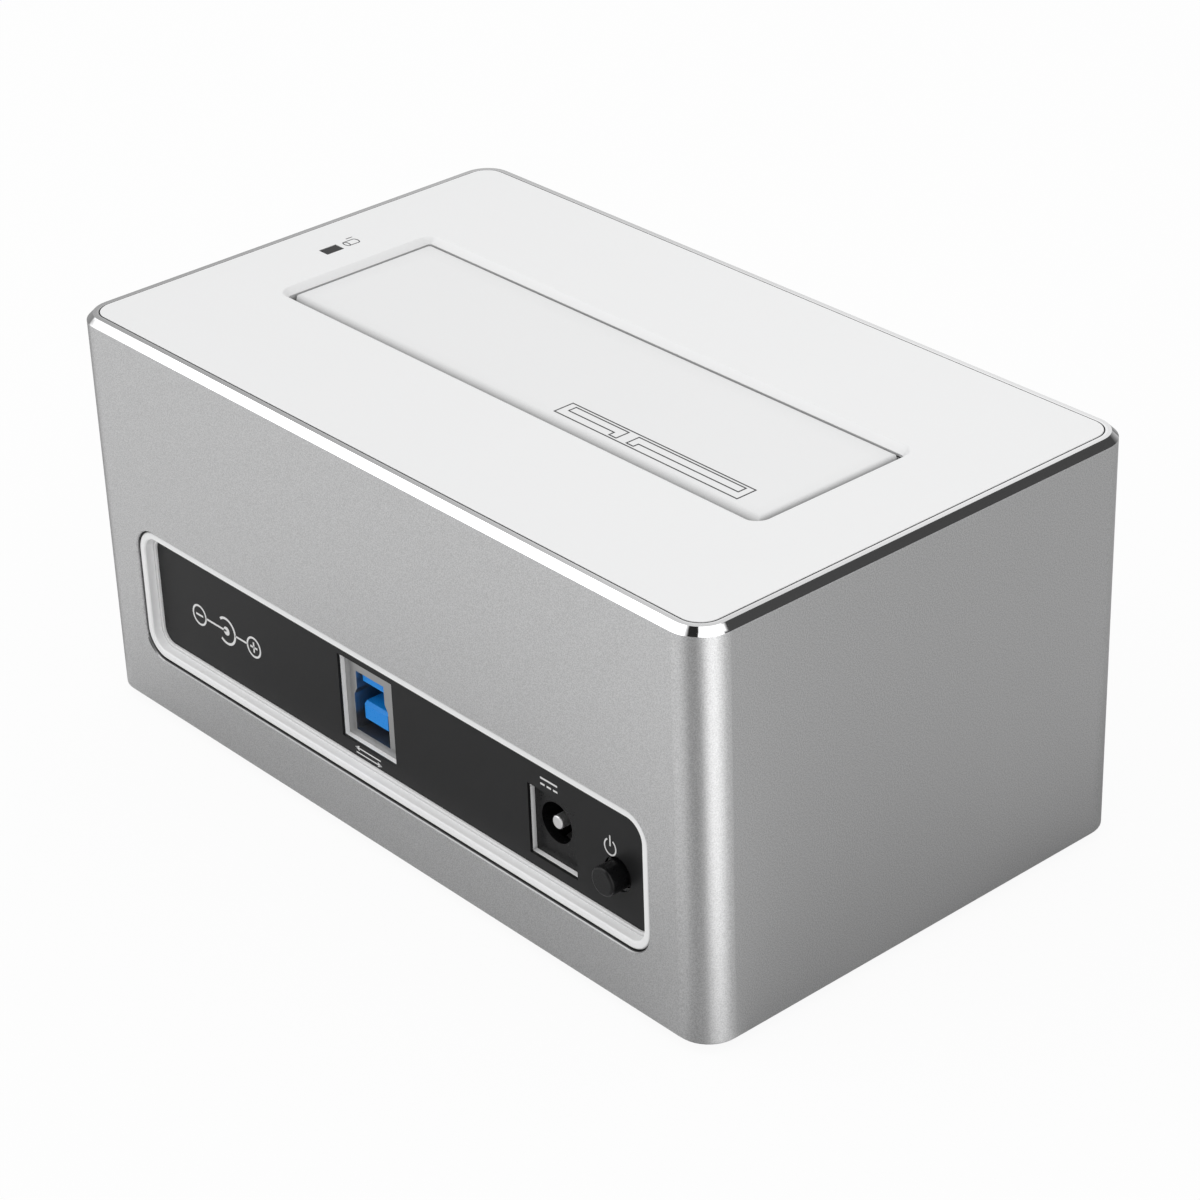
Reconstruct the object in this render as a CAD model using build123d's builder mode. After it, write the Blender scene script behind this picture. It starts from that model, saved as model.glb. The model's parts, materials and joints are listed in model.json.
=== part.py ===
from build123d import *
from math import cos, pi, sin, sqrt
import os

# Hard drive docking station: an aluminium sleeve around a white drive bay with a sprung flap.
# Millimetres. X runs along the long side and Y from the plain front (-Y) to the sockets (+Y).
# The origin lies on the table, under the middle of the object.

# Overall size
length = 140.0
depth = 83.0
shell_height = 65.0
shell_stand = 1.2
rear = depth / 2
shell_bottom = shell_stand
shell_top = shell_stand + shell_height

# Aluminium sleeve
shell_wall = 1.9
shell_corner = 5.5
top_chamfer = 1.0
bottom_chamfer = 0.4
ledge_width = 1.5
ledge_thick = 1.2
inner_length = length - 2 * shell_wall
inner_depth = depth - 2 * shell_wall
inner_corner = shell_corner - shell_wall

# Covers that close the sleeve at the top and at the bottom
cover_gap = 0.2
cover_thick = 2.2
cover_proud = 0.1
cover_round = 0.12
cover_top = shell_top + cover_proud
cover_bottom = cover_top - cover_thick
cover_length = inner_length - 2 * cover_gap
cover_depth = inner_depth - 2 * cover_gap
cover_corner = inner_corner - cover_gap
base_thick = 2.0
base_top = shell_bottom + base_thick
skirt_gap = 0.2
skirt_thick = 1.4
skirt_height = 2.6
skirt_length = inner_length - 2 * ledge_width - 2 * skirt_gap
skirt_depth = inner_depth - 2 * ledge_width - 2 * skirt_gap
skirt_corner = 2.0

# Lead-in and slot for the drive
recess_length = 106.4
recess_depth = 30.8
recess_corner = 2.6
lead_in_drop = 0.95
slot_length = 104.0
slot_depth = 28.2
slot_corner = 0.6

# Flap, its hinge rod and the torsion springs
flap_top = cover_top - 0.9
flap_thick = 2.0
flap_bottom = flap_top - flap_thick
flap_length = 103.4
flap_front = -13.75
flap_rear = 13.75
flap_corner = 2.2
flap_far_corner = 1.6
flap_left_round = 0.5
flap_right_round = 1.4
flap_rear_round = 1.8
flap_front_round = 0.4
hinge_y = -15.2
hinge_z = cover_top - 2.5
rod_radius = 0.6
rod_length = 108.4
knuckle_radius = 1.1
knuckle_bore = 0.65
knuckle_length = 10.0
knuckle_places = (-43.0, 0.0, 43.0)
web_rise = 0.95
relief_radius = 1.4
relief_rise = 1.15
tab_width = 8.0
tab_places = (-30.0, 30.0)
tab_rear = 14.9
tab_top = cover_bottom - 0.15
tab_bottom = tab_top - 1.25
spring_places = (-36.6, 32.6)
spring_wire = 0.35
spring_radius = 0.95
spring_pitch = 0.8
spring_turns = 5
spring_frame_leg = 0.6
spring_flap_leg = 4.0

# Bay frame that guides the drive and carries the hinge rod
frame_wall = 1.6
bay_half_length = slot_length / 2
bay_half_depth = slot_depth / 2
floor_bottom = 17.0
floor_top = floor_bottom + frame_wall
pocket_front = -16.6
pocket_floor = cover_top - 34.5
bearing_length = 2.4
bearing_rise = 1.0
bearing_half_width = 1.5
bearing_bore = 0.62
bearing_drop = 3.6
ear_size = 8.0
ear_thick = 1.5
ear_top = cover_bottom - 4.0
ear_x = 46.0
ear_front_y = -22.0
ear_rear_y = 19.5
ear_places = [(x, y) for x in (-ear_x, ear_x) for y in (ear_front_y, ear_rear_y)]
leg_size = 6.0
leg_places = [(-46.0, -10.0), (46.0, -10.0), (-46.0, -1.0), (46.0, 9.0)]
tab_notch_width = 9.4
tab_notch_drop = 10.0

# Posts, bosses and screws
post_x = 61.5
post_y = 33.0
post_radius = 3.2
boss_radius = 4.0
post_split = 18.0
case_head_radius = 2.8
case_head_height = 2.0
case_head_base = base_top - 1.0
case_shank_radius = 1.4
case_shank_length = 26.0
small_head_radius = 2.3
small_head_height = 1.5
small_shank_radius = 1.0
screw_slack = 0.05
head_slack = 0.3

# Circuit board
board_top = 15.0
board_thick = 1.6
board_bottom = board_top - board_thick
board_left = -57.0
board_right = 63.0
board_front = -28.5
board_rear = 37.4
board_screws_at = [(-54.0, -24.0), (58.0, -24.0), (-54.0, 14.0), (56.5, 21.0)]
standoff_radius = 3.0

# Rear window, bezel and black panel
window_width = 117.8
window_height = 22.75
window_z = shell_bottom + 21.08
window_corner = 4.5
window_chamfer = 0.15
bezel_gap = 0.2
bezel_recess = 0.35
bezel_lip = 1.3
bezel_lip_round = 0.3
ledge_inset = 1.95
bezel_step = 0.65
panel_inset = 2.3
panel_thick = 0.5
bezel_back_inset = 3.6
rib_thick = 1.4
rib_y = rear - bezel_back_inset - 0.05 - rib_thick / 2
flange_width = 2.6
flange_front_inset = shell_wall + 0.05
bezel_width = window_width - 2 * bezel_gap
bezel_height = window_height - 2 * bezel_gap
bezel_corner = window_corner - bezel_gap
panel_width = bezel_width - 2 * (bezel_lip + bezel_step)
panel_height = bezel_height - 2 * (bezel_lip + bezel_step)
panel_corner = bezel_corner - bezel_lip - bezel_step

# USB 3.0 type B socket
usb_cut_x = 4.95
usb_cut_z = shell_bottom + 21.16
usb_cut_width = 12.75
usb_cut_height = 14.1
usb_x = 5.5
usb_width = 13.2
usb_bottom = board_top + 0.45
usb_top = 29.27
usb_height = usb_top - usb_bottom
usb_inset = bezel_back_inset + 0.02
usb_depth = 16.0
usb_sheet = 0.35
usb_mouth_bottom = 16.6
usb_mouth_shoulder = 22.7
usb_mouth_neck = 23.85
usb_mouth_top = 26.9
usb_mouth_half = 3.95
usb_neck_half = 3.27
usb_cavity_depth = 9.0
usb_tongue_half = 2.7
usb_tongue_inset = 0.8
usb_tongue_bottom = 18.7
usb_tongue_top = 21.6
usb_upper_bottom = 25.1
usb_upper_top = 26.1
usb_liner = 0.3
usb_plate_margin = 0.1
usb_contact_thick = 0.15

# DC power jack
jack_x = -36.05
jack_z = 21.25
jack_cut_x = -36.55
jack_cut_width = 10.1
jack_cut_bottom = shell_bottom + 13.7
jack_cut_top = shell_bottom + 25.25
jack_width = 10.6
jack_bottom = board_top + 0.1
jack_top = jack_cut_top + 0.2
jack_inset = bezel_back_inset + 0.02
jack_depth = 14.0
jack_lip_drop = 0.35
jack_lip_thick = 0.4
jack_bore_radius = 3.2
jack_bore_depth = 10.0
jack_pin_radius = 1.05

# Power button and its switch
button_x = -50.15
button_z = 20.12
button_hole_radius = 2.7
button_radius = 2.24
button_front = rear + 0.7
button_back = 33.0
button_round = 0.45
button_flange_radius = 3.8
button_flange_front = rear - bezel_back_inset - 0.2
button_flange_thick = 1.0
plunger_radius = 1.7
plunger_slack = 0.08
plunger_front = 35.3
plunger_back = 28.0
switch_front = 31.0
switch_depth = 9.0
switch_width = 8.0
switch_height = 10.0
switch_bore_back = 24.0
switch_spring_wire = 0.25
switch_spring_radius = 1.15
switch_spring_turns = 5

# SATA receptacle
sata_x = -25.4
sata_y = 8.7
sata_base_length = 42.0
sata_base_depth = 8.4
sata_base_height = 3.3
sata_block_length = 35.0
sata_block_depth = 5.2
sata_block_height = 8.4
sata_slot_width = 1.7
sata_power_length = 20.6
sata_signal_length = 10.4
sata_rib = 1.6
sata_key = 1.6
sata_guide_length = 1.8
sata_guide_height = 9.6
sata_pitch = 1.27
sata_contact_width = 0.6
sata_contact_thick = 0.3

# Activity light
light_x = 59.6
light_y = -0.4
light_width = 2.1
light_depth = 3.15
light_gap = 0.1
light_collar = 0.6
led_height = 1.1

# Rubber feet
foot_radius = 6.0
foot_sink = 0.5
foot_round = 0.5
foot_x = 56.0
foot_y = 22.0


def rear_plane(inset):
    """A plane parallel to the rear face, so far inside it, whose normal points inward."""
    return Plane.XZ.offset(inset - rear)


def across(position):
    """A plane square to X at this position, with Y and Z as its own axes."""
    return Plane.YZ.offset(position)


def coil_points(turns, radius, pitch, first_angle):
    """Ends, middles and joints of the arcs of a helix about Z, two arcs to a quarter turn."""
    steps = 4 * turns
    rise = pitch / (2 * pi)
    points = []
    for step in range(steps):
        ends = []
        for angle in (first_angle + step * pi / 2, first_angle + (step + 1) * pi / 2):
            place = Vector(radius * cos(angle), radius * sin(angle), rise * (angle - first_angle))
            heading = Vector(-radius * sin(angle), radius * cos(angle), rise).normalized()
            ends.append((place, heading))
        (start, leave), (finish, arrive) = ends
        gap = finish - start
        both = leave + arrive
        # the control length for which both arcs meet on a common tangent
        a = both.dot(both) - 4
        b = -2 * gap.dot(both)
        c = gap.dot(gap)
        reach = (-b - sqrt(b * b - 4 * a * c)) / (2 * a)
        first_control = start + leave * reach
        second_control = finish - arrive * reach
        joint = (first_control + second_control) * 0.5
        for begin, control, end in ((start, first_control, joint), (joint, second_control, finish)):
            half_chord = (end - begin).length / 2
            weight = half_chord / reach
            middle = (begin + end + control * 2 * weight) * (1 / (2 + 2 * weight))
            points.append((tuple(begin), tuple(middle), tuple(end)))
    return points


def screw_group(places, head_base, head_radius, head_height, shank_radius, shank_length, upward):
    """Pan-head screws with a cross recess. Upward ones point up and have their heads below."""
    turn = 1 if upward else -1
    with BuildPart() as screws:
        with BuildSketch(Plane.XY.offset(head_base)):
            with Locations(*places):
                Circle(head_radius)
        extrude(amount=turn * head_height)
        rim = screws.edges().filter_by(GeomType.CIRCLE).filter_by_position(Axis.Z, head_base, head_base)
        fillet(rim, head_height * 0.4)
        with BuildSketch(Plane.XY.offset(head_base + turn * head_height)):
            with Locations(*places):
                Circle(shank_radius)
        extrude(amount=turn * shank_length)
        with BuildSketch(Plane.XY.offset(head_base)):
            with Locations(*places):
                Rectangle(head_radius * 1.1, head_radius * 0.24)
                Rectangle(head_radius * 0.24, head_radius * 1.1)
        extrude(amount=turn * head_height * 0.6, mode=Mode.SUBTRACT)
    return screws


# Outer shell
with BuildPart() as outer_shell:
    with BuildSketch(Plane.XY.offset(shell_bottom)):
        RectangleRounded(length, depth, shell_corner)
    extrude(amount=shell_height)
    chamfer(outer_shell.faces().sort_by(Axis.Z)[-1].edges(), top_chamfer)
    chamfer(outer_shell.faces().sort_by(Axis.Z)[0].edges(), bottom_chamfer)
    with BuildSketch(Plane.XY.offset(shell_bottom)):
        RectangleRounded(inner_length, inner_depth, inner_corner)
    extrude(amount=shell_height, mode=Mode.SUBTRACT)
    # ledges that the two covers are clamped against
    for ledge_base in (cover_bottom - ledge_thick, base_top):
        with BuildSketch(Plane.XY.offset(ledge_base)):
            RectangleRounded(inner_length, inner_depth, inner_corner)
            RectangleRounded(inner_length - 2 * ledge_width, inner_depth - 2 * ledge_width,
                             inner_corner - ledge_width, mode=Mode.SUBTRACT)
        extrude(amount=ledge_thick)
    # window for the sockets
    with BuildSketch(rear_plane(0)):
        with Locations((0, window_z)):
            RectangleRounded(window_width, window_height, window_corner)
    extrude(amount=shell_wall + 1, mode=Mode.SUBTRACT)
    chamfer(outer_shell.faces().sort_by(Axis.Y)[-1].inner_wires()[0].edges(), window_chamfer)

# Top cover
with BuildPart() as top_cover:
    with BuildSketch(Plane.XY.offset(cover_bottom)):
        RectangleRounded(cover_length, cover_depth, cover_corner)
    extrude(amount=cover_thick)
    fillet(top_cover.faces().sort_by(Axis.Z)[-1].edges(), cover_round)
    with BuildSketch(Plane.XY.offset(cover_bottom)):
        RectangleRounded(skirt_length, skirt_depth, skirt_corner)
        RectangleRounded(skirt_length - 2 * skirt_thick, skirt_depth - 2 * skirt_thick,
                         skirt_corner - skirt_thick, mode=Mode.SUBTRACT)
    extrude(amount=-skirt_height)
    # corner posts that the case screws enter
    with BuildSketch(Plane.XY.offset(cover_bottom)):
        with GridLocations(2 * post_x, 2 * post_y, 2, 2):
            Circle(post_radius)
    extrude(amount=post_split - cover_bottom)
    with BuildSketch(Plane.XY.offset(post_split)):
        with GridLocations(2 * post_x, 2 * post_y, 2, 2):
            Circle(case_shank_radius + screw_slack)
    extrude(amount=case_shank_length, mode=Mode.SUBTRACT)
    # bosses that the bay frame hangs from
    with BuildSketch(Plane.XY.offset(cover_bottom)):
        with Locations(*ear_places):
            Circle(post_radius)
    extrude(amount=ear_top - cover_bottom)
    with BuildSketch(Plane.XY.offset(ear_top)):
        with Locations(*ear_places):
            Circle(small_shank_radius + screw_slack)
    extrude(amount=cover_bottom - ear_top, mode=Mode.SUBTRACT)
    # sloping lead-in down to the slot
    with BuildSketch(Plane.XY.offset(cover_top)):
        RectangleRounded(recess_length, recess_depth, recess_corner)
    with BuildSketch(Plane.XY.offset(cover_top - lead_in_drop)):
        RectangleRounded(slot_length, slot_depth, slot_corner)
    loft(mode=Mode.SUBTRACT)
    with BuildSketch(Plane.XY.offset(cover_top - lead_in_drop)):
        RectangleRounded(slot_length, slot_depth, slot_corner)
    extrude(amount=-cover_thick, mode=Mode.SUBTRACT)
    fillet(top_cover.faces().sort_by(Axis.Z)[-1].inner_wires()[0].edges(), 0.3)
    # relief under the lip for the hinge
    with BuildSketch(across(-bay_half_length)):
        with Locations((hinge_y, hinge_z)):
            Circle(relief_radius)
        with Locations((hinge_y, hinge_z)):
            Rectangle(2.0, relief_rise, align=(Align.MIN, Align.MIN))
    extrude(amount=slot_length, mode=Mode.SUBTRACT)
    with BuildSketch(Plane.XY.offset(hinge_z + bearing_rise + 0.1)):
        for side in (-1, 1):
            with Locations((side * (bay_half_length + bearing_length / 2), hinge_y)):
                Rectangle(bearing_length + 0.6, 2 * bearing_half_width + 0.6)
    extrude(amount=-cover_thick, mode=Mode.SUBTRACT)
    # hole for the activity light
    with BuildSketch(Plane.XY.offset(cover_bottom)):
        with Locations((light_x, light_y)):
            Rectangle(light_width + 2 * light_gap, light_depth + 2 * light_gap)
    extrude(amount=cover_thick, mode=Mode.SUBTRACT)

# Slot flap, closed
with BuildPart() as slot_flap:
    with BuildSketch(Plane.XY.offset(flap_bottom)) as flap_outline:
        with Locations((0, (flap_front + flap_rear) / 2)):
            Rectangle(flap_length, flap_rear - flap_front)
        fillet(flap_outline.vertices().group_by(Axis.Y)[-1], flap_corner)
        fillet(flap_outline.vertices().group_by(Axis.Y)[0], flap_far_corner)
    extrude(amount=flap_thick)
    # the top rolls off at all sides, most of all at the rear and the right
    with BuildSketch(Plane.XZ.offset(-flap_rear - 1)) as flap_end_view:
        with Locations((0, flap_bottom)):
            Rectangle(flap_length, flap_thick, align=(Align.CENTER, Align.MIN))
        fillet(flap_end_view.vertices().group_by(Axis.Y)[-1].sort_by(Axis.X)[0], flap_right_round)
        fillet(flap_end_view.vertices().group_by(Axis.Y)[-1].sort_by(Axis.X)[-1], flap_left_round)
    extrude(amount=flap_rear - flap_front + 2, mode=Mode.INTERSECT)
    with BuildSketch(across(-flap_length / 2 - 1)) as flap_side_view:
        with Locations((flap_front, flap_bottom)):
            Rectangle(flap_rear - flap_front, flap_thick, align=(Align.MIN, Align.MIN))
        fillet(flap_side_view.vertices().group_by(Axis.Y)[-1].sort_by(Axis.X)[-1], flap_rear_round)
        fillet(flap_side_view.vertices().group_by(Axis.Y)[-1].sort_by(Axis.X)[0], flap_front_round)
    extrude(amount=flap_length + 2, mode=Mode.INTERSECT)
    # knuckles around the rod, each with a web to the plate
    for place in knuckle_places:
        with BuildSketch(across(place - knuckle_length / 2)):
            with Locations((hinge_y, hinge_z)):
                Circle(knuckle_radius)
            with Locations((hinge_y, flap_bottom)):
                Rectangle(flap_front - hinge_y + 0.3, hinge_z + web_rise - flap_bottom,
                          align=(Align.MIN, Align.MIN))
        extrude(amount=knuckle_length)
    with BuildSketch(across(-flap_length / 2)):
        with Locations((hinge_y, hinge_z)):
            Circle(knuckle_bore)
    extrude(amount=flap_length, mode=Mode.SUBTRACT)
    # tabs that stop the flap under the cover
    for place in tab_places:
        with BuildSketch(across(place - tab_width / 2)):
            with Locations((tab_rear, tab_top)):
                Rectangle(tab_rear - flap_rear + 1.5, tab_top - tab_bottom, align=(Align.MAX, Align.MAX))
        extrude(amount=tab_width)

# Hinge rod
with BuildPart() as hinge_rod:
    with BuildSketch(across(-rod_length / 2)):
        with Locations((hinge_y, hinge_z)):
            Circle(rod_radius)
    extrude(amount=rod_length)
    chamfer(hinge_rod.edges().filter_by(GeomType.CIRCLE), 0.15)

# Torsion springs on the rod, one leg to the frame and one under the flap
flap_springs = []
for spring_start in spring_places:
    spring_plane = Plane(origin=(spring_start, hinge_y, hinge_z), x_dir=(0, 1, 0), z_dir=(1, 0, 0))
    arcs = coil_points(spring_turns, spring_radius, spring_pitch, -pi / 2)
    with BuildPart() as flap_spring:
        with BuildLine(spring_plane) as spring_path:
            coil_start = arcs[0][0]
            Line((coil_start[0] - spring_frame_leg, coil_start[1], coil_start[2]), coil_start)
            for begin, middle, end in arcs:
                ThreePointArc(begin, middle, end)
            coil_end = arcs[-1][2]
            Line(coil_end, (coil_end[0] + spring_flap_leg, coil_end[1], coil_end[2]))
        with BuildSketch(Plane(origin=spring_path.wires()[0] @ 0, z_dir=spring_path.wires()[0] % 0)):
            Circle(spring_wire / 2)
        sweep()
    flap_springs.append(flap_spring)
print("least gap of the flap springs' coils", round(spring_pitch - spring_wire, 3))

# Bay frame
with BuildPart() as bay_frame:
    outer_half_length = bay_half_length + frame_wall
    outer_half_depth = bay_half_depth + frame_wall
    with BuildSketch(Plane.XY.offset(floor_bottom)):
        Rectangle(2 * outer_half_length, 2 * outer_half_depth)
    extrude(amount=cover_bottom - floor_bottom)
    with BuildSketch(Plane.XY.offset(pocket_floor - frame_wall)):
        with Locations((0, pocket_front - frame_wall)):
            Rectangle(2 * outer_half_length, frame_wall + 2.5 + frame_wall, align=(Align.CENTER, Align.MIN))
    extrude(amount=cover_bottom - pocket_floor + frame_wall)
    with BuildSketch(Plane.XY.offset(floor_top)):
        Rectangle(2 * bay_half_length, 2 * bay_half_depth)
    extrude(amount=cover_bottom - floor_top, mode=Mode.SUBTRACT)
    # pocket that the open flap swings into
    with BuildSketch(Plane.XY.offset(pocket_floor)):
        with Locations((0, pocket_front)):
            Rectangle(2 * bay_half_length, -bay_half_depth - pocket_front + 1,
                      align=(Align.CENTER, Align.MIN))
    extrude(amount=cover_bottom - pocket_floor, mode=Mode.SUBTRACT)
    # notches for the flap's stop tabs
    with BuildSketch(Plane.XY.offset(cover_bottom - tab_notch_drop)):
        for place in tab_places:
            with Locations((place, bay_half_depth + frame_wall / 2)):
                Rectangle(tab_notch_width, 2 * frame_wall)
    extrude(amount=tab_notch_drop, mode=Mode.SUBTRACT)
    # bearings for the hinge rod
    for side in (-1, 1):
        with BuildSketch(Plane.XY.offset(hinge_z - bearing_drop)):
            with Locations((side * (bay_half_length + bearing_length / 2), hinge_y)):
                Rectangle(bearing_length, 2 * bearing_half_width)
        extrude(amount=bearing_drop + bearing_rise)
    with BuildSketch(across(-rod_length)):
        with Locations((hinge_y, hinge_z)):
            Circle(bearing_bore)
    extrude(amount=2 * rod_length, mode=Mode.SUBTRACT)
    # window in the floor for the receptacle
    with BuildSketch(Plane.XY.offset(floor_bottom)):
        with Locations((sata_x, sata_y)):
            Rectangle(sata_base_length + 1.0, sata_base_depth + 1.0)
    extrude(amount=frame_wall, mode=Mode.SUBTRACT)
    # ears screwed to the bosses of the top cover
    for side in (-1, 1):
        with BuildSketch(Plane.XY.offset(ear_top - ear_thick)):
            with Locations((side * ear_x, pocket_front - frame_wall + 0.4)):
                Rectangle(ear_size, 8.2, align=(Align.CENTER, Align.MAX))
            with Locations((side * ear_x, outer_half_depth - 0.4)):
                Rectangle(ear_size, 8.2, align=(Align.CENTER, Align.MIN))
        extrude(amount=ear_thick)
    with BuildSketch(Plane.XY.offset(ear_top - ear_thick)):
        with Locations(*ear_places):
            Circle(small_shank_radius + 0.2)
    extrude(amount=ear_thick, mode=Mode.SUBTRACT)
    # legs that stand on the board over its supports
    with BuildSketch(Plane.XY.offset(board_top)):
        with Locations(*leg_places):
            Rectangle(leg_size, leg_size)
    extrude(amount=floor_bottom - board_top)
    # guide for the light pipe
    with BuildSketch(Plane.XY.offset(40.0)):
        with Locations((outer_half_length - 0.5, 0)):
            Rectangle(light_x + 3.0 - outer_half_length + 0.5, 7.0, align=(Align.MIN, Align.CENTER))
        with Locations((light_x, light_y)):
            Rectangle(light_width + 2 * light_gap, light_depth + 2 * light_gap, mode=Mode.SUBTRACT)
    extrude(amount=2.0)

# Light pipe with its dark window
with BuildPart() as light_pipe:
    with BuildSketch(Plane.XY.offset(board_top + led_height + 0.4)):
        with Locations((light_x, light_y)):
            Rectangle(light_width, light_depth)
    extrude(amount=cover_top - 0.05 - board_top - led_height - 0.4)
    with BuildSketch(Plane.XY.offset(cover_bottom - 1.2)):
        with Locations((light_x, light_y)):
            Rectangle(light_width + 2 * light_collar, light_depth + 2 * light_collar)
    extrude(amount=1.1)

# Activity light on the board
with BuildPart() as activity_led:
    with BuildSketch(Plane.XY.offset(board_top)):
        with Locations((light_x, light_y)):
            Rectangle(1.6, 3.2)
    extrude(amount=led_height * 0.5)
    with BuildSketch(Plane.XY.offset(board_top + led_height * 0.5)):
        with Locations((light_x, light_y)):
            Rectangle(1.5, 2.0)
    extrude(amount=led_height * 0.5, taper=8)

# Rear bezel
with BuildPart() as rear_bezel:
    with BuildSketch(rear_plane(bezel_recess)):
        with Locations((0, window_z)):
            RectangleRounded(bezel_width, bezel_height, bezel_corner)
    extrude(amount=bezel_back_inset - bezel_recess)
    fillet(rear_bezel.faces().sort_by(Axis.Y)[-1].edges(), bezel_lip_round)
    with BuildSketch(rear_plane(flange_front_inset)):
        with Locations((0, window_z)):
            RectangleRounded(window_width + 2 * flange_width, window_height + 2 * flange_width,
                             window_corner + flange_width)
    extrude(amount=bezel_back_inset - flange_front_inset)
    with BuildSketch(rear_plane(bezel_recess)):
        with Locations((0, window_z)):
            RectangleRounded(bezel_width - 2 * bezel_lip, bezel_height - 2 * bezel_lip,
                             bezel_corner - bezel_lip)
    extrude(amount=ledge_inset - bezel_recess, mode=Mode.SUBTRACT)
    fillet(rear_bezel.faces().sort_by(Axis.Y)[-1].inner_wires()[0].edges(), bezel_lip_round)
    with BuildSketch(rear_plane(ledge_inset)):
        with Locations((0, window_z)):
            RectangleRounded(panel_width + 0.1, panel_height + 0.1, panel_corner)
    extrude(amount=panel_inset + panel_thick - ledge_inset, mode=Mode.SUBTRACT)
    with BuildSketch(rear_plane(ledge_inset)):
        with Locations((usb_cut_x, usb_cut_z)):
            Rectangle(usb_cut_width, usb_cut_height)
        with Locations((jack_cut_x, (jack_cut_bottom + jack_cut_top) / 2)):
            Rectangle(jack_cut_width, jack_cut_top - jack_cut_bottom)
        with Locations((button_x, button_z)):
            Circle(button_hole_radius)
    extrude(amount=bezel_back_inset, mode=Mode.SUBTRACT)

# Black panel set into the bezel
with BuildPart() as rear_panel:
    with BuildSketch(rear_plane(panel_inset)):
        with Locations((0, window_z)):
            RectangleRounded(panel_width, panel_height, panel_corner)
        with Locations((usb_cut_x, usb_cut_z)):
            Rectangle(usb_cut_width, usb_cut_height, mode=Mode.SUBTRACT)
        with Locations((jack_cut_x, (jack_cut_bottom + jack_cut_top) / 2)):
            Rectangle(jack_cut_width, jack_cut_top - jack_cut_bottom, mode=Mode.SUBTRACT)
        with Locations((button_x, button_z)):
            Circle(button_hole_radius, mode=Mode.SUBTRACT)
    extrude(amount=panel_thick)

# Power button
with BuildPart() as power_button:
    with BuildSketch(rear_plane(rear - button_front)):
        with Locations((button_x, button_z)):
            Circle(button_radius)
    extrude(amount=button_front - button_back)
    fillet(power_button.faces().sort_by(Axis.Y)[-1].edges(), button_round)
    with BuildSketch(rear_plane(rear - button_flange_front)):
        with Locations((button_x, button_z)):
            Circle(button_flange_radius)
    extrude(amount=button_flange_thick)
    with BuildSketch(rear_plane(rear - plunger_front)):
        with Locations((button_x, button_z)):
            Circle(plunger_radius + screw_slack)
    extrude(amount=plunger_front - button_back, mode=Mode.SUBTRACT)

# Plunger of the power switch
with BuildPart() as switch_plunger:
    with BuildSketch(rear_plane(rear - plunger_front)):
        with Locations((button_x, button_z)):
            Circle(plunger_radius)
    extrude(amount=plunger_front - plunger_back)
    chamfer(switch_plunger.faces().sort_by(Axis.Y)[-1].edges(), 0.3)

# Housing of the power switch
with BuildPart() as switch_housing:
    with BuildSketch(rear_plane(rear - switch_front)):
        with Locations((button_x, board_top)):
            Rectangle(switch_width, switch_height, align=(Align.CENTER, Align.MIN))
    extrude(amount=switch_depth)
    chamfer(switch_housing.edges().filter_by(Axis.Y), 0.4)
    with BuildSketch(rear_plane(rear - switch_front)):
        with Locations((button_x, button_z)):
            Circle(plunger_radius + plunger_slack)
    extrude(amount=switch_front - switch_bore_back, mode=Mode.SUBTRACT)

# Return spring behind the plunger
switch_spring_length = plunger_back - switch_bore_back - switch_spring_wire - 0.1
switch_spring_pitch = switch_spring_length / switch_spring_turns
spring_back = Plane(origin=(button_x, switch_bore_back + switch_spring_wire / 2 + 0.05, button_z),
                    x_dir=(1, 0, 0), z_dir=(0, 1, 0))
switch_arcs = coil_points(switch_spring_turns, switch_spring_radius, switch_spring_pitch, 0)
with BuildPart() as switch_spring:
    with BuildLine(spring_back) as switch_coil:
        for begin, middle, end in switch_arcs:
            ThreePointArc(begin, middle, end)
    with BuildSketch(Plane(origin=switch_coil.wires()[0] @ 0, z_dir=switch_coil.wires()[0] % 0)):
        Circle(switch_spring_wire / 2)
    sweep()
print("least gap of the switch spring's coils", round(switch_spring_pitch - switch_spring_wire, 3))

# Main circuit board
with BuildPart() as main_board:
    with BuildSketch(Plane.XY.offset(board_bottom)):
        with Locations(((board_left + board_right) / 2, (board_front + board_rear) / 2)):
            Rectangle(board_right - board_left, board_rear - board_front)
        # corner cut away round the cover's post
        with Locations((board_right, board_rear)):
            Rectangle(6.5, 9.5, align=(Align.MAX, Align.MAX), mode=Mode.SUBTRACT)
        with Locations(*board_screws_at):
            Circle(small_shank_radius + 0.2, mode=Mode.SUBTRACT)
    extrude(amount=board_thick)

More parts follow.
